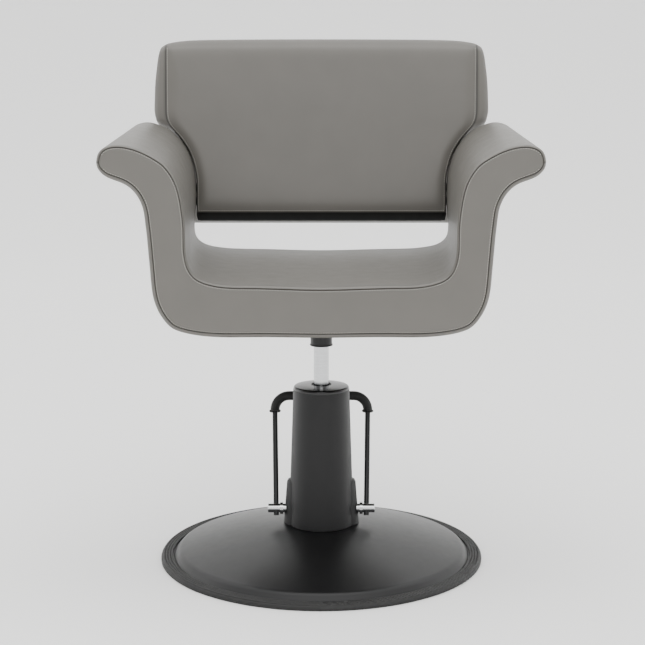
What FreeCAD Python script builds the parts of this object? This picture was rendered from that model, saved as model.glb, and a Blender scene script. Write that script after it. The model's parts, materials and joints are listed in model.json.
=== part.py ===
import FreeCAD, Part
import math
import os

# Styling chair on a round base. Millimetres, +Z up, the chair faces -Y.
# The origin is on the floor, on the column's axis. Left is -X and right is +X.

V = FreeCAD.Vector
os.makedirs("parts", exist_ok=True)

# ---- Driving dimensions -------------------------------------------------------------------
RUN = 0.05            # radial running clearance of shafts and slides
GAP = 0.3             # gap between soft layers

RIM_R = 300.0         # base, outside of the rubber ring
RIM_INNER_R = 275.0
RIM_H = 12.0
SHEET_T = 3.0         # pressed steel of the base
HUB_R = 66.0          # flat top of the base
HUB_Z = 64.0
STIFFENER_R = 60.0
STIFFENER_T = 6.0
PUMP_BOLT_PCR = 44.0  # pitch circle radius of the pump bolts
BOLT_R = 4.0          # M8
BOLT_HOLE_R = 4.3

COVER_Z0 = 65.0       # column cover, foot and top
COVER_Z1 = 321.0
COVER_R0 = 60.75
COVER_R1 = 51.85
COVER_WALL = 2.5
CHEEK_HALF = 70.4     # half width over the cheeks at the foot
CHEEK_TOP_Z = 150.0

AXLE_Z = 93.0
AXLE_R = 9.0
AXLE_HALF = 100.0
CAM_R = 16.0          # eccentric disc on the axle
CAM_HUB_R = 12.0
CAM_OFFSET = 8.0      # eccentric's centre from the axle's centre
CAM_HALF_W = 7.0
SLOT_HALF_W = 8.0     # slot in the block that the cam turns in
STROKE_DEG = 40.0     # foot bar travel
PLUNGER_R = 7.5
PLUNGER_END_Y = 40.0
SPRING_SEAT_Y = 29.5
PUMP_BORE_END_Y = 51.5

BLOCK_HALF_X = 22.0
BLOCK_HALF_Y = 24.0
FLANGE_R = 56.0
FLANGE_T = 10.0
CYL_SEAT_Z = 128.0    # cylinder's foot
CYL_TOP_Z = 304.0
CYL_IN_R = 28.0
CYL_OUT_R = 32.0
HEAD_R = 36.0
HEAD_TOP_Z = 314.0

ROD_R = 14.0
SPIGOT_R = 8.0
PISTON_Z0 = 204.0     # with the seat at its stored height
PISTON_Z1 = 226.0
THRUST_T = 2.0
SOCKET_Z0 = 403.0
SOCKET_R = 20.0
PLATE_T = 6.0
PLATE_HALF = 110.0
SEAT_BOLT_AT = 85.0

BAR_R = 5.0           # foot bar
BAR_LEAN_DEG = 24.0
BAR_FOOT_HALF = 84.5  # half width at the axle and at the elbows
BAR_TOP_HALF = 88.5
BAR_REACH = 213.5     # axle to crossbar
BAR_BELOW = 14.0
ELBOW_R = 27.0
SLEEVE_R = 8.75
LIP_R = 11.0

SEAT_Y0 = -240.0      # front and rear of the seat and arms
SEAT_Y1 = 250.0
FACING_T = 3.0
SKIN_T = 2.0
PAD_T = 5.4           # thin padding outside the shell
PLY_T = 12.0
SPLIT_X = 205.0       # seat foam meets the arm foams
SHELL_REACH = 19      # outline points that the shell follows before it stops short of the tip

BACK_FOOT_Y = 200.0   # foot of the back's front face
BACK_FOOT_Z = 625.0
RECLINE_DEG = 14.5
BACK_T = 72.0
BACK_TAPER_DEG = 4.7
BACK_FOOT_DEG = 8.3   # the foot slopes down towards the rear by this much
BOARD_T = 12.0
RAIL_LOW = 14.0       # rail inside the back, up the face from its foot
RAIL_HIGH = 64.0
RAIL_FRONT = 10.0
RAIL_HALF = 232.0
ARM_BOLTS = [(224.0, 645.0), (231.0, 670.0)]   # (Y, Z) of the bolts through each arm
ARM_BOLT_SEAT_X = 280.0
ARM_BOLT_HEAD_R = 7.5
SKIN_HOLE_R = 5.0     # holes in the vinyl are cut oversize, and the spacers cover them
SPACER_R = 9.0
SPACER_X0 = 241.8     # spacers fill the space between the back and the arms
SPACER_X1 = 243.4

# Outside of seat and arm, from the middle of the underside to the tip of the wing (X, Z)
OUTSIDE = [(0, 462), (110, 463), (211.5, 466.5), (236.5, 472), (252.5, 479), (266, 493),
           (274.5, 507), (282, 527), (285.5, 548), (288, 582), (290, 609), (292, 636),
           (294, 656), (298, 683), (303, 696), (311.5, 709), (318.5, 716), (329.5, 723),
           (345, 729), (360, 736), (367.5, 743), (371.5, 749), (373.5, 759)]
# Inside of arm and seat, from just above the tip to the middle of the seat, front and rear
INSIDE_FRONT = [(373.5, 759.3), (372, 768), (367, 777.5), (355, 785), (335, 787.5), (318, 785),
                (297, 778), (276, 767), (260.5, 756), (249, 742), (239.5, 724), (233.5, 703),
                (229.5, 678), (227, 646), (227, 614), (224.5, 594), (219, 578), (209, 566),
                (195, 559), (120, 551), (0, 548)]
INSIDE_REAR = [(373.5, 759.3), (373, 773), (367, 785), (352, 794), (333, 796), (315, 791),
               (298, 783), (281, 770), (270, 757), (259, 739), (252, 721), (247, 700),
               (245, 676), (245, 648), (248, 612), (249, 590), (244.5, 571), (232, 560),
               (209, 553), (130, 548), (0, 545)]
# Back cushion, from below its foot to the middle of its top (X, Z on the front face). The foot
# itself is a sloping cut at BACK_FOOT_Z, which leaves its lower corners square.
BACK_OUTLINE = [(0, 595), (60, 595), (120, 595), (170, 595), (206, 595.3), (226, 597),
                (237, 602.5), (241, 612), (241.5, 640), (241.5, 668), (241.5, 690), (243.5, 705),
                (248, 724),
                (256, 744), (268, 762), (282, 777), (297, 789), (311, 797), (320, 805),
                (325, 818), (325.5, 836), (323, 870), (318.5, 905), (313.5, 929), (308, 940),
                (297, 945.5), (275, 948), (235, 950), (180, 951.5), (120, 952.8), (60, 953.7),
                (0, 954)]

REAR_DIR = V(0, 1, 0)
UP = V(0, 0, 1)
ALONG_X = V(1, 0, 0)
ORIGIN = V(0, 0, 0)


# ---- Helpers ------------------------------------------------------------------------------
def save(shape, node):
    """Writes one sub-part."""
    shape.exportStep("parts/" + node + ".step")


def disc(r, z0, z1, x=0.0, y=0.0):
    """Upright cylinder."""
    return Part.makeCylinder(r, z1 - z0, V(x, y, z0), UP)


def tube(r_out, r_in, z0, z1, x=0.0, y=0.0):
    """Upright tube."""
    return disc(r_out, z0, z1, x, y).cut(disc(r_in, z0 - 1, z1 + 1, x, y))


def bar_x(r, x0, x1, y, z):
    """Cylinder along X."""
    return Part.makeCylinder(r, x1 - x0, V(x0, y, z), ALONG_X)


def block(x0, x1, y0, y1, z0, z1):
    """Box between two corners."""
    return Part.makeBox(x1 - x0, y1 - y0, z1 - z0, V(x0, y0, z0))


def hexagon(across_flats, z0, z1, x, y):
    """Upright hexagonal prism."""
    r = across_flats / math.sqrt(3)
    corners = [V(x + r * math.cos(i * math.pi / 3), y + r * math.sin(i * math.pi / 3), z0)
               for i in range(7)]
    return Part.Face(Part.makePolygon(corners)).extrude(V(0, 0, z1 - z0))


def line(a, b):
    """Straight edge in the plane Y = 0, between two (X, Z) points."""
    return Part.makeLine(V(a[0], 0, a[1]), V(b[0], 0, b[1]))


def arc(a, mid, b):
    """Arc in the plane Y = 0 through three (X, Z) points."""
    return Part.Arc(V(a[0], 0, a[1]), V(mid[0], 0, mid[1]), V(b[0], 0, b[1])).toShape()


def revolve(edges):
    """Solid of revolution about Z from a closed profile in the plane Y = 0."""
    face = Part.Face(Part.Wire(Part.__sortEdges__(edges)))
    return face.revolve(ORIGIN, UP, 360)


def both_sides(shape):
    """A shape and its mirror image in the plane X = 0."""
    return [shape, shape.mirror(ORIGIN, ALONG_X)]


def group(shapes):
    """Separate solids as one node."""
    return Part.makeCompound(shapes)


def at_four(radius):
    """Four (X, Y) places on the diagonals of a pitch circle."""
    c = radius / math.sqrt(2)
    return [(sx * c, sy * c) for sx in (-1, 1) for sy in (-1, 1)]


def full(half):
    """Half an outline, from the middle outwards, as a whole one from left to right."""
    left = [(-x, z) for x, z in reversed(half[1:])]
    return left + list(half)


def inset(points, depth, closed=False):
    """Moves an outline sideways, to the left of its direction of travel."""
    out = []
    count = len(points)
    for i, (x, z) in enumerate(points):
        ax, az = points[i - 1] if closed else points[max(i - 1, 0)]
        bx, bz = points[(i + 1) % count] if closed else points[min(i + 1, count - 1)]
        length = math.hypot(bx - ax, bz - az)
        out.append((x - (bz - az) / length * depth, z + (bx - ax) / length * depth))
    return out


def spacing(points):
    """Curve parameters in step with the outline's length."""
    steps = [0.0]
    for (ax, az), (bx, bz) in zip(points, points[1:]):
        steps.append(steps[-1] + math.hypot(bx - ax, bz - az))
    return steps


def curve(points, steps, y):
    """Smooth edge through (X, Z) points at one Y."""
    c = Part.BSplineCurve()
    c.interpolate(Points=[V(x, y, z) for x, z in points], Parameters=steps)
    return c.toShape()


def band_wire(outer, inner, steps, y):
    """Closed wire around the strip between two outlines."""
    ends = [Part.makeLine(V(outer[k][0], y, outer[k][1]), V(inner[k][0], y, inner[k][1]))
            for k in (-1, 0)]
    return Part.Wire([curve(outer, steps, y), ends[0], curve(inner, steps, y), ends[1]])


def band(points, d0, d1, y0, y1):
    """Strip between two depths inside an outline, run along Y."""
    wire = band_wire(inset(points, d0), inset(points, d1), spacing(points), y0)
    return Part.Face(wire).extrude(V(0, y1 - y0, 0))


# ---- Base ---------------------------------------------------------------------------------
groove_z0 = 5.0
groove_z1 = groove_z0 + SHEET_T
edge_r = RIM_R - 9.0

outer_dome = [line((edge_r, groove_z1), (276, groove_z1)), line((276, groove_z1), (270, 15)),
              arc((270, 15), (266, 19.5), (260, 22)),
              arc((260, 22), (165, 47), (HUB_R, HUB_Z)), line((HUB_R, HUB_Z), (12, HUB_Z))]
inner_dome = [line((12, HUB_Z - SHEET_T), (HUB_R, HUB_Z - SHEET_T)),
              arc((HUB_R, HUB_Z - SHEET_T), (165, 43.9), (259.4, 19)),
              arc((259.4, 19), (264.4, 16.8), (267.4, 13.2)),
              line((267.4, 13.2), (274.4, groove_z0)), line((274.4, groove_z0), (edge_r, groove_z0))]
dome_ends = [line((12, HUB_Z), (12, HUB_Z - SHEET_T)), line((edge_r, groove_z0), (edge_r, groove_z1))]
base_plate = revolve(outer_dome + inner_dome + dome_ends)

# Rubber ring: flat underside, ridged top, groove for the edge of the plate
ridges = []
ridge_w = 5.0
ridge_in = RIM_R - 2.5 - 4 * ridge_w
for i in range(4):
    r0 = RIM_R - 2.5 - i * ridge_w
    ridges.append(arc((r0, 9), (r0 - ridge_w / 2, RIM_H - 0.6), (r0 - ridge_w, 9)))
ring_profile = ridges + [
    arc((RIM_R - 2.5, 9), (RIM_R - 0.5, 7), (RIM_R, 5)), line((RIM_R, 5), (RIM_R, 2)),
    arc((RIM_R, 2), (RIM_R - 0.6, 0.6), (RIM_R - 2, 0)), line((RIM_R - 2, 0), (279, 0)),
    line((279, 0), (279, groove_z0 - 0.1)), line((279, groove_z0 - 0.1), (edge_r + 0.1, groove_z0 - 0.1)),
    line((edge_r + 0.1, groove_z0 - 0.1), (edge_r + 0.1, groove_z1 + 0.1)),
    line((edge_r + 0.1, groove_z1 + 0.1), (ridge_in, groove_z1 + 0.1)),
    line((ridge_in, groove_z1 + 0.1), (ridge_in, 9))]
base_rim_ring = revolve(ring_profile)

stiffener_z0 = HUB_Z - SHEET_T - STIFFENER_T
base_stiffener = tube(STIFFENER_R, 12, stiffener_z0, HUB_Z - SHEET_T)

pump_bolts = []
pump_washers = []
pump_nuts = []
washer_z = HUB_Z + FLANGE_T
for x, y in at_four(PUMP_BOLT_PCR):
    hole = disc(BOLT_HOLE_R, 0, 200, x, y)
    base_plate = base_plate.cut(hole)
    base_stiffener = base_stiffener.cut(hole)
    head = hexagon(13, stiffener_z0 - 5.3, stiffener_z0, x, y)
    pump_bolts.append(head.fuse(disc(BOLT_R, stiffener_z0 - 5, washer_z + 11, x, y)))
    pump_washers.append(tube(8, BOLT_R + 0.2, washer_z, washer_z + 1.6, x, y))
    nut = hexagon(13, washer_z + 1.6, washer_z + 8.4, x, y)
    pump_nuts.append(nut.cut(disc(BOLT_R, washer_z, washer_z + 12, x, y)))
save(base_plate, "base_plate")
save(base_rim_ring, "base_rim_ring")
save(base_stiffener, "base_stiffener")
save(group(pump_bolts), "pump_bolts")
save(group(pump_washers), "pump_washers")
save(group(pump_nuts), "pump_nuts")

# ---- Pump ---------------------------------------------------------------------------------
plunger_z = AXLE_Z + CAM_OFFSET
half_stroke = math.radians(STROKE_DEG / 2)
plunger_y0 = CAM_R - CAM_OFFSET * math.sin(half_stroke) + GAP
slot_y1 = 20.5
BUSH_R = 12.0

pump_block = disc(FLANGE_R, HUB_Z, HUB_Z + FLANGE_T)
pump_block = pump_block.fuse(block(-BLOCK_HALF_X, BLOCK_HALF_X, -BLOCK_HALF_Y, BLOCK_HALF_Y,
                                   HUB_Z + 1, CYL_SEAT_Z - 1))
pump_block = pump_block.fuse(disc(HEAD_R, CYL_SEAT_Z - 8, CYL_SEAT_Z))
pump_block = pump_block.fuse(block(-11, 11, 0, PUMP_BORE_END_Y + 2.5, plunger_z - 11, plunger_z + 11))
pump_block = pump_block.cut(block(-SLOT_HALF_W, SLOT_HALF_W, -60, slot_y1, AXLE_Z - 13.5, 118.5))
pump_block = pump_block.cut(Part.makeCylinder(PLUNGER_R + RUN, PUMP_BORE_END_Y, V(0, 0, plunger_z),
                                              REAR_DIR))
pump_block = pump_block.cut(bar_x(BUSH_R, -60, 60, 0, AXLE_Z))
for x, y in at_four(PUMP_BOLT_PCR):
    pump_block = pump_block.cut(disc(BOLT_HOLE_R, 0, HUB_Z + FLANGE_T + 1, x, y))
save(pump_block, "pump_block")

axle_bush = bar_x(BUSH_R, SLOT_HALF_W, BLOCK_HALF_X, 0, AXLE_Z)
axle_bush = axle_bush.cut(bar_x(AXLE_R + RUN, 0, 60, 0, AXLE_Z))
save(group(both_sides(axle_bush)), "axle_bushes")

plunger_length = PLUNGER_END_Y - plunger_y0
plunger = Part.makeCylinder(PLUNGER_R, plunger_length, V(0, plunger_y0, plunger_z), REAR_DIR)
spring_pocket = Part.makeCylinder(5.2, 20, V(0, SPRING_SEAT_Y, plunger_z), REAR_DIR)
plunger = plunger.cut(spring_pocket)
save(plunger, "plunger")

WIRE_R = 0.45
SPRING_R = 4.2
spring_length = PUMP_BORE_END_Y - SPRING_SEAT_Y - 4 * WIRE_R
helix = Part.makeHelix(spring_length / 7, spring_length, SPRING_R)
wire_section = Part.Wire(Part.makeCircle(WIRE_R, V(SPRING_R, 0, 0), REAR_DIR))
spring = Part.Wire(helix).makePipeShell([wire_section], True, True)
spring.rotate(ORIGIN, ALONG_X, -90)
spring.translate(V(0, SPRING_SEAT_Y + 2 * WIRE_R, plunger_z))
save(spring, "plunger_spring")

save(tube(CYL_OUT_R, CYL_IN_R, CYL_SEAT_Z, CYL_TOP_Z), "cylinder_tube")
cylinder_head = disc(HEAD_R, CYL_TOP_Z - 16, HEAD_TOP_Z)
cylinder_head = cylinder_head.cut(disc(CYL_OUT_R, CYL_TOP_Z - 17, CYL_TOP_Z))
cylinder_head = cylinder_head.cut(disc(ROD_R + 3, CYL_TOP_Z - 1, HEAD_TOP_Z + 1))
save(cylinder_head, "cylinder_head")
seal_z = HEAD_TOP_Z - 3
save(tube(ROD_R + 3, ROD_R + RUN, CYL_TOP_Z, seal_z - 0.2), "rod_bush")
save(tube(ROD_R + 3, ROD_R + RUN, seal_z, HEAD_TOP_Z), "rod_seal")


# ---- Column cover and cap -----------------------------------------------------------------
def ellipse_wire(a, b, z):
    """Level ellipse with its longer axis along X."""
    return Part.Wire(Part.Ellipse(V(a, 0, z), V(0, b, z), V(0, 0, z)).toShape())


def cover_body(shrink):
    """Cone with a cheek low on each side, moved inwards by shrink.

    Each level of the cheeks is an ellipse that is wider than the cone along X and narrower along Y,
    so it stands out at the sides only and the front and rear stay a plain cone."""
    cone = Part.makeCone(COVER_R0 - shrink, COVER_R1 - shrink, COVER_Z1 - COVER_Z0, V(0, 0, COVER_Z0), UP)
    cheeks = [(CHEEK_HALF, 40, COVER_Z0), (64.2, 38, CHEEK_TOP_Z - 6),
              (62.4, 36, CHEEK_TOP_Z - 2), (58.6, 33, CHEEK_TOP_Z)]
    wires = [ellipse_wire(a - shrink, b - shrink, z) for a, b, z in cheeks]
    return cone.fuse(Part.makeLoft(wires, True, True))


cover = cover_body(0).cut(cover_body(COVER_WALL))
cover = cover.cut(bar_x(AXLE_R + 1.5, -90, 90, 0, AXLE_Z))
save(cover, "column_cover")

CAP_R = 51.3
CAP_SKIRT_R = 49.0    # skirt inside the top of the cover
CAP_SKIRT_IN_R = 46.5
cap_hole = ROD_R + 4
skirt_z = COVER_Z1 - 8
join_z = COVER_Z1 + 0.1
cap_profile = [
    line((CAP_R, join_z), (CAP_R, COVER_Z1 + 1.5)),
    arc((CAP_R, COVER_Z1 + 1.5), (50.4, COVER_Z1 + 5), (47.5, COVER_Z1 + 6.6)),
    arc((47.5, COVER_Z1 + 6.6), (34, COVER_Z1 + 8.3), (21, COVER_Z1 + 9)),
    arc((21, COVER_Z1 + 9), (19, COVER_Z1 + 8.8), (cap_hole, COVER_Z1 + 7.6)),
    line((cap_hole, COVER_Z1 + 7.6), (cap_hole, COVER_Z1 + 1)),
    line((cap_hole, COVER_Z1 + 1), (20.5, COVER_Z1 + 1)),
    line((20.5, COVER_Z1 + 1), (20.5, COVER_Z1 + 6.4)),
    arc((20.5, COVER_Z1 + 6.4), (34, COVER_Z1 + 5.7), (CAP_SKIRT_IN_R, COVER_Z1 + 4)),
    line((CAP_SKIRT_IN_R, COVER_Z1 + 4), (CAP_SKIRT_IN_R, skirt_z)),
    line((CAP_SKIRT_IN_R, skirt_z), (CAP_SKIRT_R, skirt_z)),
    line((CAP_SKIRT_R, skirt_z), (CAP_SKIRT_R, join_z)),
    line((CAP_SKIRT_R, join_z), (CAP_R, join_z))]
save(revolve(cap_profile), "column_cap")
save(tube(cap_hole, ROD_R + RUN, COVER_Z1 + 1.5, COVER_Z1 + 7), "cap_wiper")

# ---- Foot bar -----------------------------------------------------------------------------
# The bar is drawn in a plane with the axle at its origin, then leaned back and lifted to the axle.
elbow_z = BAR_REACH - ELBOW_R
bar_tan = (BAR_TOP_HALF - BAR_FOOT_HALF) / BAR_REACH


def lean(shape):
    """Puts a shape drawn upright over the axle into the bar's leaning plane."""
    shape.rotate(ORIGIN, ALONG_X, -BAR_LEAN_DEG)
    shape.translate(V(0, 0, AXLE_Z))
    return shape


def bar_half_at(s):
    """Half width of the bar at a distance from the axle."""
    return BAR_FOOT_HALF + bar_tan * s


def bar_path(s0):
    """Line up one arm from s0, round the elbows and down the other."""
    half = bar_half_at(elbow_z)
    c = ELBOW_R * math.sin(math.pi / 4)
    inner = half - ELBOW_R
    edges = [line((-bar_half_at(s0), s0), (-half, elbow_z)),
             arc((-half, elbow_z), (-inner - c, elbow_z + c), (-inner, BAR_REACH)),
             line((-inner, BAR_REACH), (inner, BAR_REACH)),
             arc((inner, BAR_REACH), (inner + c, elbow_z + c), (half, elbow_z)),
             line((half, elbow_z), (bar_half_at(s0), s0))]
    return Part.Wire(edges)


def sweep_round(path, s0, r):
    """Round bar along a path that starts at s0 up the left arm."""
    start = V(-bar_half_at(s0), 0, s0)
    section = Part.Wire(Part.makeCircle(r, start, V(-bar_tan, 0, 1)))
    return path.makePipeShell([section], True, True, 2)


pedal_bar = sweep_round(bar_path(-BAR_BELOW), -BAR_BELOW, BAR_R)
sleeve_s0 = elbow_z - 3
sleeve_path = bar_path(sleeve_s0)
sleeve = sweep_round(sleeve_path, sleeve_s0, SLEEVE_R)
lip = Part.makeTorus(LIP_R - 2.2, 2.2, V(bar_half_at(sleeve_s0), 0, sleeve_s0 + 0.5), V(bar_tan, 0, 1))
for one in both_sides(lip):
    sleeve = sleeve.fuse(one)
sleeve = sleeve.cut(sweep_round(bar_path(-BAR_BELOW), -BAR_BELOW, BAR_R))
save(lean(pedal_bar), "pedal_bar")
save(lean(sleeve), "pedal_sleeve")

axle = bar_x(AXLE_R, -AXLE_HALF, AXLE_HALF, 0, 0)
ends = [e for e in axle.Edges if abs(e.BoundBox.XLength) < 1e-6]
axle = axle.makeChamfer(1.0, ends)
cross_hole = Part.makeCylinder(BAR_R, 40, V(bar_half_at(-20), 0, -20), V(bar_tan, 0, 1))
for one in both_sides(cross_hole):
    axle = axle.cut(one)
save(lean(axle), "pedal_axle")

cam_x = -CAM_HALF_W
cam = bar_x(CAM_HUB_R, cam_x, CAM_HALF_W, 0, AXLE_Z)
eccentric_y = -CAM_OFFSET * math.sin(half_stroke)
eccentric_z = AXLE_Z + CAM_OFFSET * math.cos(half_stroke)
cam = cam.fuse(bar_x(CAM_R, cam_x, CAM_HALF_W, eccentric_y, eccentric_z))
cam = cam.cut(bar_x(AXLE_R, -60, 60, 0, AXLE_Z))
save(cam, "pump_cam")

collar = bar_x(12, 71.5, 77, 0, AXLE_Z).cut(bar_x(AXLE_R, 60, 90, 0, AXLE_Z))
screw_hole = disc(1.5, AXLE_Z - 14, AXLE_Z, 74.2)
collar_screw = disc(1.5, AXLE_Z - 12.6, AXLE_Z - AXLE_R, 74.2)
save(group(both_sides(collar.cut(screw_hole))), "axle_collars")
save(group(both_sides(collar_screw)), "collar_screws")

# ---- Piston, rod and seat plate -------------------------------------------------------------
piston = disc(CYL_IN_R - RUN, PISTON_Z0, PISTON_Z1).cut(disc(SPIGOT_R + RUN, 0, 400))
piston = piston.cut(disc(ROD_R + 1, PISTON_Z0 - 1, PISTON_Z0 + 10))
ring_z0 = PISTON_Z0 + 13
piston_ring = tube(CYL_IN_R - RUN, CYL_IN_R - 4, ring_z0, ring_z0 + 4)
save(piston.cut(tube(CYL_IN_R + 2, CYL_IN_R - 4, ring_z0, ring_z0 + 4)), "piston_head")
save(piston_ring, "piston_ring")
rod_z0 = PISTON_Z1 + THRUST_T
save(tube(ROD_R - 0.5, SPIGOT_R + RUN, PISTON_Z1, rod_z0), "thrust_washer")

plate_z1 = 461.9
plate_z0 = plate_z1 - PLATE_T
nut_z1 = PISTON_Z0 + 9.5
save(disc(ROD_R, rod_z0, plate_z0 - 12).fuse(disc(SPIGOT_R, PISTON_Z0 + 1, rod_z0 + 1)), "piston_rod")
rod_nut = hexagon(22, PISTON_Z0 + 2, nut_z1, 0, 0)
save(rod_nut.cut(disc(SPIGOT_R, 0, 400)), "rod_nut")

socket_profile = [
    line((ROD_R, SOCKET_Z0), (SOCKET_R, SOCKET_Z0)),
    arc((SOCKET_R, SOCKET_Z0), (SOCKET_R + 1.3, SOCKET_Z0 + 1.5), (SOCKET_R, SOCKET_Z0 + 3)),
    line((SOCKET_R, SOCKET_Z0 + 3), (SOCKET_R, plate_z0)), line((SOCKET_R, plate_z0), (0, plate_z0)),
    line((0, plate_z0), (0, plate_z0 - 12)), line((0, plate_z0 - 12), (ROD_R, plate_z0 - 12)),
    line((ROD_R, plate_z0 - 12), (ROD_R, SOCKET_Z0))]
save(revolve(socket_profile), "seat_socket")

gusset = Part.Face(Part.makePolygon([V(SOCKET_R, -2.5, plate_z0), V(90, -2.5, plate_z0),
                                     V(90, -2.5, plate_z0 - 6), V(SOCKET_R, -2.5, plate_z0 - 34),
                                     V(SOCKET_R, -2.5, plate_z0)])).extrude(V(0, 5, 0))
gussets = []
for i in range(4):
    one = gusset.copy()
    one.rotate(ORIGIN, UP, 90 * i)
    gussets.append(one)
save(group(gussets), "socket_gussets")

seat_plate = block(-PLATE_HALF, PLATE_HALF, -PLATE_HALF, PLATE_HALF, plate_z0, plate_z1)
upright = [e for e in seat_plate.Edges if e.BoundBox.ZLength > PLATE_T - 0.1]
seat_plate = seat_plate.makeFillet(15, upright)

# ---- Seat and arms: layers of one U -------------------------------------------------------
skin_y0 = SEAT_Y0 + FACING_T + GAP
skin_y1 = SEAT_Y1 - FACING_T - GAP
outside = full(OUTSIDE)
shell_line = full(OUTSIDE[:SHELL_REACH])
pad_in = SKIN_T + GAP
shell_in = pad_in + PAD_T + GAP
foam_in = shell_in + PLY_T + GAP


def whole_inside(half):
    """Inner outline from the right tip to the left, with the padding on its left."""
    return list(half) + [(-x, z) for x, z in reversed(half[:-1])]


inside_front = whole_inside(INSIDE_FRONT)
inside_rear = whole_inside(INSIDE_REAR)
inside_steps = spacing(inside_front)


def inside_at(y):
    """Inner outline part of the way from front to rear."""
    k = (y - SEAT_Y0) / (SEAT_Y1 - SEAT_Y0)
    return [(ax + (bx - ax) * k, az + (bz - az) * k)
            for (ax, az), (bx, bz) in zip(inside_front, inside_rear)]


def lofted_band(d0, d1):
    """Strip between two depths under the inner outline, from front to rear."""
    wires = []
    for y in (skin_y0, skin_y1):
        points = inside_at(y)
        wires.append(band_wire(inset(points, d0), inset(points, d1), inside_steps, y))
    return Part.makeLoft(wires, True, True)


def u_wire(depth, y):
    """Closed wire around the whole U, moved inwards by depth."""
    under = inset(outside, depth)
    over = inset(inside_at(y), depth)
    edges = [curve(under, spacing(outside), y), curve(over, inside_steps, y)]
    for a, b in ((under[-1], over[0]), (over[-1], under[0])):
        edges.append(Part.makeLine(V(a[0], y, a[1]), V(b[0], y, b[1])))
    return Part.Wire(Part.__sortEdges__(edges))


outer_cover = band(outside, 0, SKIN_T, skin_y0, skin_y1)
outer_padding = band(shell_line, pad_in, pad_in + PAD_T, skin_y0, skin_y1)
seat_shell = band(shell_line, shell_in, shell_in + PLY_T, skin_y0, skin_y1)
inner_cover = lofted_band(0, SKIN_T)
foam = Part.makeLoft([u_wire(pad_in, skin_y0), u_wire(pad_in, skin_y1)], True, True)
foam = foam.cut(band(shell_line, -4, foam_in, skin_y0 - 5, skin_y1 + 5))
seat_foam = foam.common(block(-SPLIT_X + GAP / 2, SPLIT_X - GAP / 2, -400, 400, 400, 900))
arm_foam = foam.common(block(SPLIT_X + GAP / 2, 400, -400, 400, 400, 900))


def facing(y0, y1, k_at):
    """Flat panel over one end of the U."""
    return Part.Face(u_wire(0, k_at)).extrude(V(0, y1 - y0, 0)).translated(V(0, y0 - k_at, 0))


front_facing = facing(SEAT_Y0, SEAT_Y0 + FACING_T, SEAT_Y0)
rear_facing = facing(SEAT_Y1 - FACING_T, SEAT_Y1, SEAT_Y1)

# Bolts from the plate into tee nuts in the shell
shell_top_z = 462 + shell_in + PLY_T
seat_bolts = []
tee_nuts = []
for sx in (-1, 1):
    for sy in (-1, 1):
        x = sx * SEAT_BOLT_AT
        y = sy * SEAT_BOLT_AT
        hole = disc(BOLT_HOLE_R, 440, shell_top_z - 8, x, y)
        seat_plate = seat_plate.cut(hole)
        outer_cover = outer_cover.cut(hole)
        outer_padding = outer_padding.cut(hole)
        seat_shell = seat_shell.cut(disc(BOLT_R + 1, 440, 520, x, y))
        seat_foam = seat_foam.cut(disc(12, 440, shell_top_z + 6, x, y))
        bolt = hexagon(13, plate_z0 - 5.3, plate_z0, x, y)
        seat_bolts.append(bolt.fuse(disc(BOLT_R, plate_z0 - 5, shell_top_z + 1.5, x, y)))
        nut = disc(10, shell_top_z + 1.2, shell_top_z + 2.8, x, y)
        nut = nut.fuse(disc(BOLT_R + 1, shell_top_z - 8, shell_top_z + 2, x, y))
        tee_nuts.append(nut.cut(disc(BOLT_R, 440, 520, x, y)))
save(seat_plate, "seat_plate")
save(group(seat_bolts), "seat_bolts")
save(group(tee_nuts), "tee_nuts")

# ---- Back cushion -------------------------------------------------------------------------
# The back is drawn with its front face in the plane Y = 0 and its foot at Z = 0, then placed.
recline = math.radians(RECLINE_DEG)
back_half = [(x, (z - BACK_FOOT_Z) / math.cos(recline)) for x, z in BACK_OUTLINE]
back_loop = back_half + [(-x, z) for x, z in reversed(back_half[1:-1])]


def place_back(shape):
    """Leans a shape back and puts it at the foot of the back."""
    shape.rotate(ORIGIN, ALONG_X, -RECLINE_DEG)
    shape.translate(V(0, BACK_FOOT_Y, BACK_FOOT_Z))
    return shape


def back_side(points):
    """Smooth edge up one side of the back, level where it meets the other side."""
    out = V(1 if points[1][0] > 0 else -1, 0, 0)
    c = Part.BSplineCurve()
    c.interpolate(Points=[V(x, 0, z) for x, z in points], Parameters=spacing(points),
                  InitialTangent=out, FinalTangent=-out)
    return c.toShape()


def back_face(depth):
    """Outline of the back, moved inwards by depth, as a face in the plane Y = 0."""
    right = inset(back_loop, depth, closed=True)[:len(back_half)]
    left = [(-x, z) for x, z in right]
    return Part.Face(Part.Wire(Part.__sortEdges__([back_side(right), back_side(left)])))


def behind(depth):
    """Everything behind a plane that lies depth in front of the back's rear face."""
    slab = block(-500, 500, 0, 300, -300, 700)
    slab.rotate(ORIGIN, ALONG_X, BACK_TAPER_DEG)
    slab.translate(V(0, BACK_T - depth, 0))
    return slab


def under_foot(depth):
    """Everything below a plane that lies depth above the sloping foot."""
    slab = block(-500, 500, -100, 300, -200, depth)
    slab.rotate(ORIGIN, ALONG_X, -BACK_FOOT_DEG)
    return slab


def back_layer(depth, t0, rear0, rear1=None):
    """Slice of the back: from t0 behind its front face to rear0 in front of its rear face."""
    solid = back_face(depth).extrude(V(0, BACK_T + 20, 0))
    solid = solid.cut(block(-500, 500, -9, t0, -100, 600)).cut(behind(rear0)).cut(under_foot(depth))
    if rear1 is not None:
        solid = solid.common(behind(rear1))
    return solid


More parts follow.
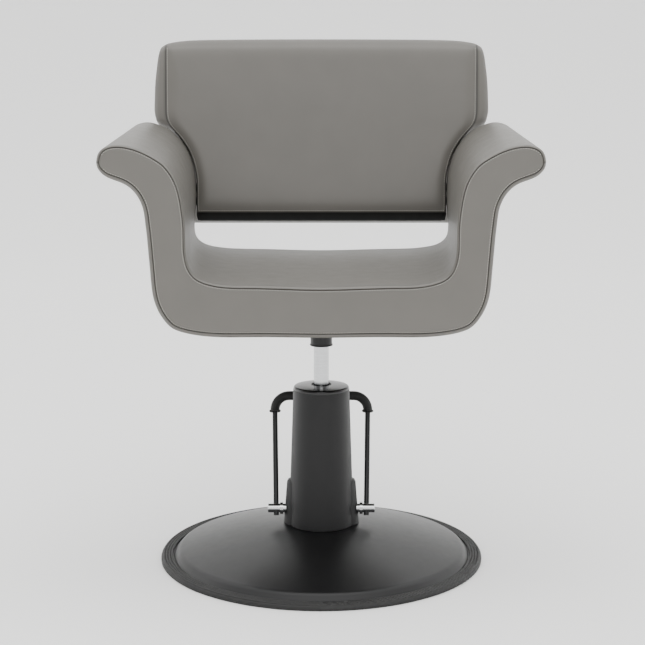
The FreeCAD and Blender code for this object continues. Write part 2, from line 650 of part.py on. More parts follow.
board_rear = SKIN_T + GAP
board_front = board_rear + BOARD_T
back_front_cover = back_layer(pad_in, 0, 0).cut(block(-500, 500, SKIN_T, 300, -100, 600))
back_boxing = back_layer(0, 0, 0).cut(back_layer(SKIN_T, -1, -10))
back_foam = back_layer(pad_in, SKIN_T + GAP, board_front + GAP)
back_board = back_layer(pad_in, 1, board_rear, board_front)
back_rear_cover = back_layer(pad_in, 1, 0, SKIN_T)

# Steel channel across the back, open to the rear, with the threaded ends that the arms bolt to.
# Its flanges are cut to the slope of the board and stand against it.
rail = block(-RAIL_HALF, RAIL_HALF, RAIL_FRONT, BACK_T, RAIL_LOW, RAIL_HIGH).cut(behind(board_front))
rail = rail.cut(block(6 - RAIL_HALF, RAIL_HALF - 6, RAIL_FRONT + 3, 80, RAIL_LOW + 3, RAIL_HIGH - 3))
back_foam = back_foam.cut(block(-RAIL_HALF - GAP, RAIL_HALF + GAP, RAIL_FRONT - GAP, 80,
                                RAIL_LOW - GAP, RAIL_HIGH + GAP))
back_foam = place_back(back_foam)
back_boxing = place_back(back_boxing)
back_rail = place_back(rail)

back_bolts = []
back_spacers = []
bore_arm = []
for y, z in ARM_BOLTS:
    bolt = bar_x(BOLT_R, RAIL_HALF - 6, ARM_BOLT_SEAT_X + 1, y, z)
    bolt = bolt.fuse(bar_x(ARM_BOLT_HEAD_R, ARM_BOLT_SEAT_X, ARM_BOLT_SEAT_X + 4, y, z))
    back_bolts += both_sides(bolt)
    spacer = bar_x(SPACER_R, SPACER_X0, SPACER_X1, y, z).cut(bar_x(BOLT_HOLE_R, 200, 300, y, z))
    back_spacers += both_sides(spacer)
    head_room = bar_x(ARM_BOLT_HEAD_R + 1, ARM_BOLT_SEAT_X, 290.5, y, z)
    bore_arm.append(bar_x(BOLT_HOLE_R, 200, 300, y, z).fuse(head_room))
    for one in both_sides(bar_x(SKIN_HOLE_R, 200, 300, y, z)):
        inner_cover = inner_cover.cut(one)
    for one in both_sides(bar_x(BOLT_R, 200, 260, y, z)):
        back_rail = back_rail.cut(one)
    for one in both_sides(bar_x(BOLT_HOLE_R, 200, 260, y, z)):
        back_foam = back_foam.cut(one)
        back_boxing = back_boxing.cut(one)
for tool in bore_arm:
    arm_foam = arm_foam.cut(tool)
    for one in both_sides(tool):
        seat_shell = seat_shell.cut(one)
        outer_padding = outer_padding.cut(one)

arm_foam_right, arm_foam_left = both_sides(arm_foam)
for shape, node in ((outer_cover, "outer_cover"), (outer_padding, "outer_padding"),
                    (seat_shell, "seat_shell"), (inner_cover, "inner_cover"),
                    (seat_foam, "seat_foam"), (arm_foam_right, "arm_foam_right"),
                    (arm_foam_left, "arm_foam_left"), (front_facing, "front_facing"),
                    (rear_facing, "rear_facing"), (back_foam, "back_foam"),
                    (back_boxing, "back_boxing"), (back_rail, "back_rail"),
                    (place_back(back_front_cover), "back_front_cover"),
                    (place_back(back_board), "back_board"),
                    (place_back(back_rear_cover), "back_rear_cover"),
                    (group(back_bolts), "back_bolts"), (group(back_spacers), "back_spacers")):
    save(shape, node)
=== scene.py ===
# %% [markdown]
# # A salon styling chair
# The hard parts come from the CAD frame: base, column, foot bar and seat plate. This lesson dresses the
# frame: it sews the upholstery in mesh code, adds the stitches with Geometry Nodes, mixes a finish for
# every part and sets up a plain studio. Sizes are written in millimetres and turned into metres once.

import json
import math

import bpy
import numpy as np
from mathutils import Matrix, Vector


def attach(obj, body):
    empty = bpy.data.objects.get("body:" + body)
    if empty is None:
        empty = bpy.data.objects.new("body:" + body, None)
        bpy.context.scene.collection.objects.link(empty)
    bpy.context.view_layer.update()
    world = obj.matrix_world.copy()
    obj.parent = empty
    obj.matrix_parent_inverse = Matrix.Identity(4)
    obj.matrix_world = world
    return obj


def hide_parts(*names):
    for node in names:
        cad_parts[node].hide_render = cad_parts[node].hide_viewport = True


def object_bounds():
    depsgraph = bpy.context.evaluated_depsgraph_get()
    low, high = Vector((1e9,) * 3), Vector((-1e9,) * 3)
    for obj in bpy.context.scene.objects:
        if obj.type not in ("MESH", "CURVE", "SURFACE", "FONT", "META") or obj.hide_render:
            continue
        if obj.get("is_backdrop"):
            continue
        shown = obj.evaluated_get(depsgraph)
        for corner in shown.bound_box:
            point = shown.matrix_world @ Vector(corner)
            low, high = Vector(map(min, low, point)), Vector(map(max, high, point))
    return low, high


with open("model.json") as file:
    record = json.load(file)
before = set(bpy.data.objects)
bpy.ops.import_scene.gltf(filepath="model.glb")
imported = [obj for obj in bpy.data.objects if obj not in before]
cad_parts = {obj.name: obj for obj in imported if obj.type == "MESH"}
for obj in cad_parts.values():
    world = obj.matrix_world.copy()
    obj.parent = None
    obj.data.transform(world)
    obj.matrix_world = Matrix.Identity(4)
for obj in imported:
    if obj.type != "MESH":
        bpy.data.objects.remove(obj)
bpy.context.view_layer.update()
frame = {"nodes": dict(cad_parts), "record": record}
MM = 0.001

# %% [markdown]
# ## Colours and nodes
# A paint card gives a colour as hex digits in sRGB, but shaders mix light in linear values, so one
# function does that sum. A second one adds a node to a tree, sets its values and makes its links, which
# keeps each finish down to a few readable lines.

# %% Colour and node helpers
def linear(hex_digits):
    """sRGB hex, such as "5f5d58", as a linear RGBA colour."""
    out = []
    for i in (0, 2, 4):
        c = int(hex_digits[i:i + 2], 16) / 255
        out.append(c / 12.92 if c <= 0.04045 else ((c + 0.055) / 1.055) ** 2.4)
    return (*out, 1.0)


def add(tree, kind, values=None, **settings):
    """Adds a node. values maps an input's name or number to a value, or to an output to link from."""
    made = tree.nodes.new(kind)
    for name, value in settings.items():
        setattr(made, name, value)
    for key, value in (values or {}).items():
        if isinstance(value, bpy.types.NodeSocket):
            tree.links.new(value, made.inputs[key])
        else:
            made.inputs[key].default_value = value
    return made


def start_finish(name, **values):
    """New material with a Principled shader whose plain sockets are set by name."""
    finish = bpy.data.materials.new(name)
    finish.use_nodes = True
    shader = finish.node_tree.nodes["Principled BSDF"]
    for key, value in values.items():
        shader.inputs[key.replace("_", " ")].default_value = value
    where = finish.node_tree.nodes.new("ShaderNodeTexCoord").outputs["Object"]
    return finish, finish.node_tree, shader, where


def two_tones(tree, factor, dark, light):
    """Mixes two colours by a 0 to 1 factor."""
    mix = add(tree, "ShaderNodeMix", {"Factor": factor}, data_type="RGBA")
    mix.inputs[6].default_value = dark
    mix.inputs[7].default_value = light
    return mix.outputs[2]


def spread(tree, value, low, high):
    """Turns a 0 to 1 value into the range low to high."""
    return add(tree, "ShaderNodeMapRange", {"Value": value, "To Min": low, "To Max": high}).outputs[0]


def noise(tree, where, pattern_mm, detail=2.0):
    """Noise whose blotches are about pattern_mm across."""
    return add(tree, "ShaderNodeTexNoise", {"Vector": where, "Scale": 1000 / pattern_mm,
                                            "Detail": detail}).outputs[0]


def bump(tree, height, strength, depth_mm, under=None):
    """Bump from a height pattern that is depth_mm deep."""
    values = {"Strength": strength, "Distance": depth_mm * MM, "Height": height}
    if under is not None:
        values["Normal"] = under
    return add(tree, "ShaderNodeBump", values).outputs[0]


VINYL_DARK, VINYL_LIGHT = "5f5d58", "66635e"
print("grey vinyl in linear light:", [round(c, 3) for c in linear(VINYL_DARK)[:3]])

# %% [markdown]
# ## Upholstery vinyl
# Salon chairs wear PU-coated vinyl, because it wipes clean of hair and dye. It has a pressed leather
# grain of cells about a millimetre wide, a soft sheen and almost no gloss. A Voronoi cell pattern gives
# the grain, larger noise gives the slow change in tone of real hide-like sheet, and the seam attribute,
# painted on the mesh later, darkens the fold where two panels dive into a seam, as painted shade.

# %% Vinyl, thread and painted-shade cloth finishes
def make_vinyl(name, tone, tone_shift):
    """Embossed PU vinyl, with painted shade in the seam folds."""
    finish, tree, shader, where = start_finish(name, Roughness=0.5, Coat_Weight=0.12, Coat_Roughness=0.38,
                                               Specular_IOR_Level=0.42)
    cells = add(tree, "ShaderNodeTexVoronoi", {"Vector": where, "Scale": 1000 / 1.3},
                feature="DISTANCE_TO_EDGE").outputs["Distance"]
    creases = spread(tree, cells, 0.0, 3.5)
    pores = noise(tree, where, 0.7)
    slow = noise(tree, where, 60, 3)
    colour = two_tones(tree, slow, linear(tone), linear(tone_shift))
    # The seam weight mixes in near black: painted shade in the folds at the seams.
    seam = add(tree, "ShaderNodeAttribute", attribute_name="seam").outputs["Fac"]
    dark = add(tree, "ShaderNodeMix", {"Factor": seam, 6: colour, 7: linear("24221f")}, data_type="RGBA")
    tree.links.new(dark.outputs[2], shader.inputs["Base Color"])
    tree.links.new(spread(tree, noise(tree, where, 25), 0.42, 0.54), shader.inputs["Roughness"])
    fine = bump(tree, pores, 0.25, 0.08)
    tree.links.new(bump(tree, creases, 0.3, 0.12, fine), shader.inputs["Normal"])
    return finish


vinyl = make_vinyl("grained_grey_vinyl", VINYL_DARK, VINYL_LIGHT)


def make_thread():
    """Bonded polyester thread: a fine twist along each stitch."""
    finish, tree, shader, where = start_finish("polyester_thread", Roughness=0.6)
    twist = add(tree, "ShaderNodeTexWave", {"Vector": where, "Scale": 900.0, "Distortion": 1.0},
                bands_direction="DIAGONAL").outputs["Fac"]
    tree.links.new(two_tones(tree, twist, linear("a5a29c"), linear("c0bdb6")), shader.inputs["Base Color"])
    tree.links.new(bump(tree, twist, 0.4, 0.1), shader.inputs["Normal"])
    return finish


thread = make_thread()


def make_painted_foot_shade():
    """Near-black matt cloth with a fine felted surface, laid on the foot's underside as painted shade."""
    # Near-black cloth that paints the shade under the back's foot.
    finish, tree, shader, where = start_finish("black_cloth_painted_shade", Roughness=0.95, Specular_IOR_Level=0.08)
    felt = noise(tree, where, 0.9, 3)
    tree.links.new(two_tones(tree, felt, linear("0b0b0b"), linear("191917")), shader.inputs["Base Color"])
    tree.links.new(bump(tree, felt, 0.3, 0.1), shader.inputs["Normal"])
    return finish


painted_foot_shade = make_painted_foot_shade()
print("made:", vinyl.name, thread.name, painted_foot_shade.name)

# %% [markdown]
# ## Hard finishes
# The base, foot bar and socket are steel with a satin black powder coat, which has a faint orange peel.
# The column cover is moulded ABS with a spark-eroded texture, its cap is glossier, and the rim and the
# foot bar's sleeve are rubber. The rod is hard chrome, turned, so its polish runs in fine rings. Metals
# keep the shader's default IOR; only their colour and roughness are set.

# %% Paint, plastics, rubber and metals
def make_coating(name, dark, light, rough_low, rough_high, peel_mm, peel_depth, **more):
    """Paint or plastic: slight tone change, uneven gloss and a surface texture."""
    finish, tree, shader, where = start_finish(name, **more)
    tone = noise(tree, where, 45, 3)
    tree.links.new(two_tones(tree, tone, linear(dark), linear(light)), shader.inputs["Base Color"])
    gloss = spread(tree, noise(tree, where, 14, 4), rough_low, rough_high)
    tree.links.new(gloss, shader.inputs["Roughness"])
    peel = noise(tree, where, peel_mm, 1)
    tree.links.new(bump(tree, peel, 0.3, peel_depth), shader.inputs["Normal"])
    return finish


def make_metal(name, dark, light, rough_low, rough_high, streak):
    """Metal with machining marks; streak stretches the marks along X, Y and Z."""
    finish, tree, shader, where = start_finish(name, Metallic=1.0)
    stretched = add(tree, "ShaderNodeMapping", {"Vector": where, "Scale": streak}).outputs[0]
    marks = noise(tree, stretched, 1000, 3)
    tree.links.new(two_tones(tree, marks, linear(dark), linear(light)), shader.inputs["Base Color"])
    tree.links.new(spread(tree, marks, rough_low, rough_high), shader.inputs["Roughness"])
    tree.links.new(bump(tree, marks, 0.15, 0.02), shader.inputs["Normal"])
    return finish


satin_coat = make_coating("satin_black_powder_coat", "0b0b0c", "0f0f10", 0.32, 0.40, 1.4, 0.03,
                          Specular_IOR_Level=0.36)
rubber = make_coating("extruded_black_rubber", "121212", "181817", 0.55, 0.7, 0.8, 0.05)
abs_texture = make_coating("spark_textured_black_abs", "0f0f10", "131314", 0.42, 0.5, 0.5, 0.05,
                           Specular_IOR_Level=0.36)
abs_gloss = make_coating("glossy_black_abs", "0d0d0e", "111112", 0.16, 0.24, 3.0, 0.01)
hard_chrome = make_metal("turned_hard_chrome", "a9abad", "d9dadb", 0.12, 0.26, (40, 40, 1800))
bright_chrome = make_metal("polished_chrome", "c8cacc", "dcddde", 0.06, 0.12, (900, 60, 60))
zinc = make_metal("zinc_plated_steel", "9a9a96", "b9b8b0", 0.3, 0.42, (300, 300, 300))
machined = make_metal("machined_steel", "77787a", "929395", 0.28, 0.4, (60, 60, 900))
bronze = make_metal("sintered_bronze", "7a5a2c", "96713b", 0.35, 0.5, (400, 400, 400))
iron = make_coating("cast_iron_skin", "2a2a2b", "3a3a3a", 0.55, 0.75, 2.0, 0.25, Metallic=1.0)
plywood = make_metal("raw_plywood_edge", "8a6a42", "a98757", 0.6, 0.8, (20, 20, 700))
plywood.node_tree.nodes["Principled BSDF"].inputs["Metallic"].default_value = 0.0
foam = make_coating("cut_polyurethane_foam", "b7a978", "cdbf8c", 0.8, 0.95, 1.2, 0.4)

FINISH_OF_SLOT = {"black_paint": satin_coat, "black_rubber": rubber, "zinc_steel": zinc, "cast_iron": iron,
                  "bronze": bronze, "bare_steel": machined, "black_abs": abs_texture,
                  "black_gloss": abs_gloss, "chrome": bright_chrome, "grey_vinyl": vinyl, "foam": foam,
                  "plywood": plywood}
slot_of_node = {s["node"]: s["material_slot"] for s in frame["record"]["subparts"]}
for name, part in frame["nodes"].items():
    finish = FINISH_OF_SLOT[slot_of_node.get(name, "black_paint")]
    part.data.materials.clear()
    part.data.materials.append(hard_chrome if name == "piston_rod" else finish)
print("finishes on CAD nodes:", len({p.data.materials[0].name for p in frame["nodes"].values()}))

# %% [markdown]
# ## Smooth outlines
# An upholsterer cuts panels along smooth patterns. Here a natural cubic spline runs through a few
# measured points, and is walked at an even pace so that the mesh columns are evenly spaced.

# %% Outline helpers
def spline(points, at):
    """Natural cubic spline through points, at parameters from 0 to 1 along the chord length."""
    p = np.array(points, float)
    h = np.linalg.norm(np.diff(p, axis=0), axis=1)
    t = np.r_[0, np.cumsum(h)]
    n = len(p)
    a = np.eye(n)
    b = np.zeros((n, p.shape[1]))
    for i in range(1, n - 1):
        a[i, i - 1:i + 2] = h[i - 1], 2 * (h[i - 1] + h[i]), h[i]
        b[i] = 6 * ((p[i + 1] - p[i]) / h[i] - (p[i] - p[i - 1]) / h[i - 1])
    m = np.linalg.solve(a, b)
    x = np.clip(np.asarray(at, float), 0, 1) * t[-1]
    k = np.clip(np.searchsorted(t, x, side="right") - 1, 0, n - 2)
    u, v, hk = (t[k + 1] - x)[:, None], (x - t[k])[:, None], h[k][:, None]
    return ((m[k] * u ** 3 + m[k + 1] * v ** 3) / (6 * hk) + (p[k] / hk - m[k] * hk / 6) * u
            + (p[k + 1] / hk - m[k + 1] * hk / 6) * v)


def even_pace(points, count):
    """Spline parameters whose points are evenly spaced along the curve."""
    fine = np.linspace(0, 1, 3000)
    walked = np.r_[0, np.cumsum(np.linalg.norm(np.diff(spline(points, fine), axis=0), axis=1))]
    return np.interp(np.linspace(0, walked[-1], count), walked, fine)


def inset(line, depth):
    """Moves a line sideways to the left of its direction of travel; depth may vary along it."""
    along = np.gradient(line, axis=0)
    along /= np.linalg.norm(along, axis=1)[:, None]
    left = np.stack([-along[:, 1], along[:, 0]], 1)
    return line + left * np.broadcast_to(depth, len(line))[:, None]


def mirror_out(half):
    """Half an outline, from the middle outwards, as a whole one from left to right."""
    return [(-x, z) for x, z in reversed(half[1:])] + list(half)


def grid_mesh(name, rows, seam=None, finish=vinyl, closed=False):
    """Quad mesh from rows of points in millimetres, with an optional seam weight for each point, which the
    vinyl uses as painted shade.
    """
    rows = np.asarray(rows, float)
    count_v, count_u = rows.shape[:2]
    faces = []
    for j in range(count_v - 1):
        for i in range(count_u - (0 if closed else 1)):
            k = (i + 1) % count_u
            faces.append((j * count_u + i, j * count_u + k, (j + 1) * count_u + k, (j + 1) * count_u + i))
    mesh = bpy.data.meshes.new(name)
    mesh.from_pydata((rows.reshape(-1, 3) * MM).tolist(), [], faces)
    weight = mesh.attributes.new("seam", "FLOAT", "POINT")
    if seam is not None:
        weight.data.foreach_set("value", np.asarray(seam, np.float32).reshape(-1))
    mesh.shade_smooth()
    mesh.materials.append(finish)
    made = bpy.data.objects.new(name, mesh)
    bpy.context.scene.collection.objects.link(made)
    return made


# %% [markdown]
# ## Seat and arms: one U of four panels
# A moulded shell bends up into both arms and rolls out at the top like a breaking wave. The cover is
# four panels: a wide one over seat and arm insides, one round the outside and underneath, and a flat
# facing at the front and the rear. Each wide panel rounds over the edge of the foam and dives into the
# seam with the facing, which is why a thin dark line follows the whole U.

# %% Panel patterns
OUTSIDE = [(0, 462), (110, 463), (211.5, 466.5), (236.5, 472), (252.5, 479), (266, 493),
           (274.5, 507), (282, 527), (285.5, 548), (288, 582), (290, 609), (292, 636),
           (294, 656), (298, 683), (303, 696), (311.5, 709), (318.5, 716), (329.5, 723),
           (345, 729), (360, 736), (367.5, 743), (371.5, 749), (373.5, 759)]
INSIDE_FRONT = [(373.5, 759.3), (372, 768), (367, 777.5), (355, 785), (335, 787.5), (318, 785),
                (297, 778), (276, 767), (260.5, 756), (249, 742), (239.5, 724), (233.5, 703),
                (229.5, 678), (227, 646), (227, 614), (224.5, 594), (219, 578), (209, 566),
                (195, 559), (120, 551), (0, 548)]
INSIDE_REAR = [(373.5, 759.3), (373, 773), (367, 785), (352, 794), (333, 796), (315, 791),
               (298, 783), (281, 770), (270, 757), (259, 739), (252, 721), (247, 700),
               (245, 676), (245, 648), (248, 612), (249, 590), (244.5, 571), (232, 560),
               (209, 553), (130, 548), (0, 545)]
SEAT_FRONT_Y, SEAT_REAR_Y = -240.0, 250.0
COLUMNS = 361
OUTER_SEAM_IN = 7.5
INNER_SEAM_IN = 3.6
EDGE_ROUND = 8.0
SEAM_DEPTH = 2.2

outside = mirror_out(OUTSIDE)
inside_front = list(INSIDE_FRONT) + [(-x, z) for x, z in reversed(INSIDE_FRONT[:-1])]
inside_rear = list(INSIDE_REAR) + [(-x, z) for x, z in reversed(INSIDE_REAR[:-1])]
outer_line = spline(outside, even_pace(outside, COLUMNS))
pace = even_pace(inside_front, COLUMNS)
inner_front_line = spline(inside_front, pace)
inner_rear_line = spline(inside_rear, pace)


def inner_line(y):
    """Inner outline at one depth of the seat."""
    k = (y - SEAT_FRONT_Y) / (SEAT_REAR_Y - SEAT_FRONT_Y)
    return inner_front_line * (1 - k) + inner_rear_line * k


def seam_in(usual):
    """Seam distance from the edge along an outline: the two seams meet at the wing tips."""
    walk = np.minimum(np.arange(COLUMNS), np.arange(COLUMNS)[::-1]) / 9
    return usual + (5.5 - usual) * np.exp(-walk ** 2)


outer_in = seam_in(OUTER_SEAM_IN)
inner_in = seam_in(INNER_SEAM_IN)
print("outline lengths (mm):", [round(float(np.linalg.norm(np.diff(a, axis=0), axis=1).sum()))
                                for a in (outer_line, inner_front_line, inner_rear_line)])

# %% [markdown]
# Each row of a wide panel is the outline at one depth. The first rows climb out of the front seam and
# round the edge, the middle rows run straight back, and the last ones round into the rear seam. Foam
# swells between its seams, so the middle rows also stand a little proud.

# %% Wide panels
def band_rows():
    """(Y, share of the seam inset, painted seam shade weight) of each row from the front seam to the rear
    seam.
    """
    rows = []
    for step in range(8):
        turn = math.radians(90) * (step / 7) ** 1.25
        sunk = SEAM_DEPTH * math.exp(-(step / 1.1) ** 2)
        rows.append((EDGE_ROUND * (1 - math.cos(turn)) + sunk, 1 - math.sin(turn),
                     math.exp(-(step / 0.8) ** 2)))
    front = [(SEAT_FRONT_Y + y, share, weight) for y, share, weight in rows]
    rear = [(SEAT_REAR_Y - y, share, weight) for y, share, weight in reversed(rows)]
    straight = np.linspace(SEAT_FRONT_Y + EDGE_ROUND, SEAT_REAR_Y - EDGE_ROUND, 58)[1:-1]
    return front + [(y, 0.0, 0.0) for y in straight] + rear


def swell(y):
    """0 at the front and rear seams, 1 in the middle."""
    k = (y - SEAT_FRONT_Y) / (SEAT_REAR_Y - SEAT_FRONT_Y)
    return math.sin(math.pi * min(max(k, 0), 1)) ** 0.6


def wide_panel(line_at, seam_distance, puff):
    """Points and painted seam shade weights of a wide panel."""
    points, weights = [], []
    for y, share, weight in band_rows():
        line = line_at(y)
        line = inset(line, seam_distance * share - puff * swell(y))
        points.append([(x, y, z) for x, z in line])
        weights.append(np.full(len(line), weight))
    return np.array(points), np.array(weights)


tip_walk = np.minimum(np.arange(COLUMNS), np.arange(COLUMNS)[::-1])
away_from_tip = 1 - np.exp(-(tip_walk / 22) ** 2)
middle_of_seat = np.exp(-((inner_front_line[:, 0]) / 150) ** 4)
inner_points, inner_seam_shade = wide_panel(inner_line, inner_in, away_from_tip * (0.8 + 3.2 * middle_of_seat))
outer_points, outer_seam_shade = wide_panel(lambda y: outer_line, outer_in, 0.8 * away_from_tip)
# The panels' ends at the wing tips get painted seam shade too.
for weights in (inner_seam_shade, outer_seam_shade):
    weights[:, 0] = weights[:, -1] = 0.8
inner_cover = grid_mesh("seat_inner_cover", inner_points[::-1], inner_seam_shade[::-1])
outer_cover = grid_mesh("seat_outer_cover", outer_points[::-1], outer_seam_shade[::-1])
print("wide panels:", [len(o.data.polygons) for o in (inner_cover, outer_cover)])

# %% [markdown]
# The facings are flat U strips. Each rung runs from the outer seam to the inner one. The rows close to
# the seams are narrow, so the facing can roll into the groove, and the middle is nearly flat.

# %% Facings
RUNGS = [0, 1.4, 3.2, 7.0, 14.0]


def facing_points(y, outward, inner):
    """Points and painted seam shade weights of a facing at one end of the U."""
    low = inset(outer_line, outer_in)
    high = inset(inner, inner_in)[::-1]
    width = np.linalg.norm(high - low, axis=1)
    squeeze = np.clip(width / 36, 0, 1)
    depths = [r * squeeze for r in RUNGS]
    depths += [width * k for k in (0.4, 0.5, 0.6)]
    depths += [width - r * squeeze for r in reversed(RUNGS)]
    points, weights = [], []
    for d in depths:
        k = np.clip(d / np.maximum(width, 1e-6), 0, 1)
        line = low + (high - low) * k[:, None]
        edge = np.minimum(d, width - d)
        sunk = SEAM_DEPTH * np.exp(-(edge / 1.3) ** 2)
        crown = 1.2 * np.sin(math.pi * k) * squeeze
        points.append(np.stack([line[:, 0], y - outward * (sunk - crown), line[:, 1]], 1))
        # Painted shade where the facing dives into its seams.
        weights.append(np.exp(-(edge / 0.9) ** 2))
    return np.array(points), np.array(weights)


front_points, front_facing_seam_shade = facing_points(SEAT_FRONT_Y, -1, inner_front_line)
rear_points, rear_facing_seam_shade = facing_points(SEAT_REAR_Y, 1, inner_rear_line)
front_facing = grid_mesh("seat_front_facing", front_points, front_facing_seam_shade)
rear_facing = grid_mesh("seat_rear_facing", rear_points[::-1], rear_facing_seam_shade[::-1])
print("facings:", [len(o.data.polygons) for o in (front_facing, rear_facing)])

# %% [markdown]
# ## Back cushion
# The back is a separate wedge, thick at its foot and thin at the top, which sits between the arms and
# spreads over them. One cover runs up the face, rolls over the top and is sewn to the rear panel. A
# boxing strip closes the sides and the foot. The pad is drawn in its own plane (across, up the face,
# into the pad) and then leaned back, so every number below can be read off a pattern piece.

# %% Back patterns
RECLINE = math.radians(14.5)
TAPER = math.tan(math.radians(4.7))
FOOT_SLOPE = math.tan(math.radians(8.3))
BACK_FOOT_Y, BACK_FOOT_Z, BACK_THICK = 200.0, 625.0, 72.0
TOP_ROUND = 22.0
FACE_TOP = 321.0
CORNER_DROP, CORNER_TIGHTNESS = 7.5, 12
TOP_CROWN, CROWN_FROM = 2.0, 0.8
# (height up the face, half width) of the cover's side seam and of the pad at its widest
FACE_HALF = [(-30, 240.6), (0, 240.8), (24, 241), (45, 241.2), (65, 241.7), (79, 243.7), (99, 248.6),
             (120, 256.6), (138, 267.3), (154, 280), (165, 290), (175, 297), (187, 300.8), (205, 302),
             (240, 302.5), (280, 303), (345, 303.5)]
WIDEST_HALF = [(-30, 242.6), (0, 242.8), (24, 242.9), (45, 243), (65, 243.2), (79, 245.1), (99, 249.9),
               (120, 258.1), (138, 269.2), (154, 283.2), (167, 298.7), (176, 312.5), (184, 321),
               (196, 325.5), (215, 326.4), (240, 325.8), (272, 324), (288, 322.2), (303, 320.4),
               (315, 318.5), (327, 315.7), (335, 311.8), (340, 307), (343, 302)]


def half_width(table, s):
    """Half width from a table, eased through its points."""
    walk = spline(table, np.linspace(0, 1, 800))
    return np.interp(s, np.maximum.accumulate(walk[:, 0]), walk[:, 1])


def rear_depth(s):
    """Depth of the rear panel at a height up the face."""
    return BACK_THICK - TAPER * s


def foot_height(t):
    """Height of the sloping foot at a depth into the pad."""
    return -FOOT_SLOPE * t


def to_chair(p):
    """Points in the back's plane (across, up, in) as chair coordinates in millimetres."""
    p = np.asarray(p, float)
    x, s, t = p[..., 0], p[..., 1], p[..., 2]
    y = BACK_FOOT_Y + s * math.sin(RECLINE) + t * math.cos(RECLINE)
    z = BACK_FOOT_Z + s * math.cos(RECLINE) - t * math.sin(RECLINE)
    return np.stack([x, y, z], -1)


def from_chair(p):
    """The way back: chair coordinates as (across, up, in)."""
    dy, dz = p[..., 1] - BACK_FOOT_Y, p[..., 2] - BACK_FOOT_Z
    return np.stack([p[..., 0], dy * math.sin(RECLINE) + dz * math.cos(RECLINE),
                     dy * math.cos(RECLINE) - dz * math.sin(RECLINE)], -1)


TOP_S = FACE_TOP + TOP_ROUND
TOP_DEPTH = float(rear_depth(TOP_S))
heights = np.r_[0, 0.7, 1.6, 2.8, 4.5, 7, 10.5, 15, 21, 29, np.linspace(38, FACE_TOP, 54)]
turns = np.radians(np.linspace(0, 90, 14))[1:]
cover_path = np.array([(s, 0.0) for s in heights]
                      + [(FACE_TOP + TOP_ROUND * math.sin(a), TOP_ROUND * (1 - math.cos(a))) for a in turns]
                      + [(TOP_S, t) for t in np.linspace(TOP_ROUND, TOP_DEPTH, 7)[1:]])
print("cover rows:", len(cover_path), "depth at the top:", round(TOP_DEPTH, 1), "mm")

# %% [markdown]
# ### Letting the foam push
# Foam behind a sewn sheet swells where it is free and is held in along the seams. A cloth simulation
# blows up a slightly small, evenly meshed form of the pad for twenty steps, and its front is read back
# as a height above the pattern plane. The height is capped, and nearly the whole face reaches the cap,
# so in this tight pad it is mostly the cap and the fade beside the seams that set the visible shape.

# %% Simulate the pad
ACROSS = 151
PAD_CAP = 7.0
RISE = 11.0
VOXEL = 6.0
SIM_STEPS = 20


def pad_form():
    """Closed, slightly small form of the pad, in chair coordinates."""
    s_rows = np.linspace(1.0, TOP_S - 2, 40)
    widths = half_width(FACE_HALF, s_rows) - 3
    u = np.linspace(-1, 1, 60)
    front = np.stack([np.outer(widths, u), np.repeat(s_rows[:, None], 60, 1), np.full((40, 60), 3.0)], -1)
    front[-4:, :, 2] += np.array([1.5, 4.5, 9, 15])[:, None]
    rear = front.copy()
    rear[:, :, 2] = np.maximum(rear_depth(s_rows)[:, None] - 3, front[:, :, 2] + 6)
    rows, cols = front.shape[:2]
    points = np.concatenate([front.reshape(-1, 3), rear.reshape(-1, 3)])
    half = rows * cols
    faces = []
    for j in range(rows - 1):
        for i in range(cols - 1):
            a = j * cols + i
            faces.append((a, a + 1, a + cols + 1, a + cols))
            faces.append((half + a, half + a + cols, half + a + cols + 1, half + a + 1))
    rim = [i for i in range(cols)]
    rim += [j * cols + cols - 1 for j in range(1, rows)]
    rim += [(rows - 1) * cols + i for i in range(cols - 2, -1, -1)]
    rim += [j * cols for j in range(rows - 2, 0, -1)]
    for k, a in enumerate(rim):
        b = rim[(k + 1) % len(rim)]
        faces.append((b, a, half + a, half + b))
    mesh = bpy.data.meshes.new("back_pad_form")
    mesh.from_pydata((to_chair(points) * MM).tolist(), [], faces)
    made = bpy.data.objects.new("back_pad_form", mesh)
    bpy.context.scene.collection.objects.link(made)
    return made


def simulate_swell():
    """Runs the cloth and returns (x, s) of the front's points and how far each one came forward."""
    form = pad_form()
    remesh = form.modifiers.new("even_mesh", "REMESH")
    remesh.mode, remesh.voxel_size = "VOXEL", VOXEL * MM
    bpy.context.view_layer.update()
    seen = form.evaluated_get(bpy.context.evaluated_depsgraph_get())
    even = bpy.data.meshes.new_from_object(seen)
    form.modifiers.clear()
    form.data = even
    start = np.empty(len(even.vertices) * 3)
    even.vertices.foreach_get("co", start)
    start = from_chair(start.reshape(-1, 3) / MM)
    cloth = form.modifiers.new("foam_pressure", "CLOTH")
    cloth.settings.use_pressure = True
    cloth.settings.uniform_pressure_force = 4.0
    cloth.settings.effector_weights.gravity = 0.0
    cloth.settings.quality = 5
    cloth.point_cache.frame_start, cloth.point_cache.frame_end = 1, SIM_STEPS
    scene = bpy.context.scene
    for step in range(1, SIM_STEPS + 1):
        scene.frame_set(step)
    seen = form.evaluated_get(bpy.context.evaluated_depsgraph_get())
    swollen = bpy.data.meshes.new_from_object(seen)
    end = np.empty(len(swollen.vertices) * 3)
    swollen.vertices.foreach_get("co", end)
    end = from_chair(end.reshape(-1, 3) / MM)
    bpy.data.objects.remove(form)
    scene.frame_set(1)
    front = start[:, 2] < 4.5
    push = np.clip(start[front, 2] - end[front, 2], 0, PAD_CAP)
    return start[front, :2], push


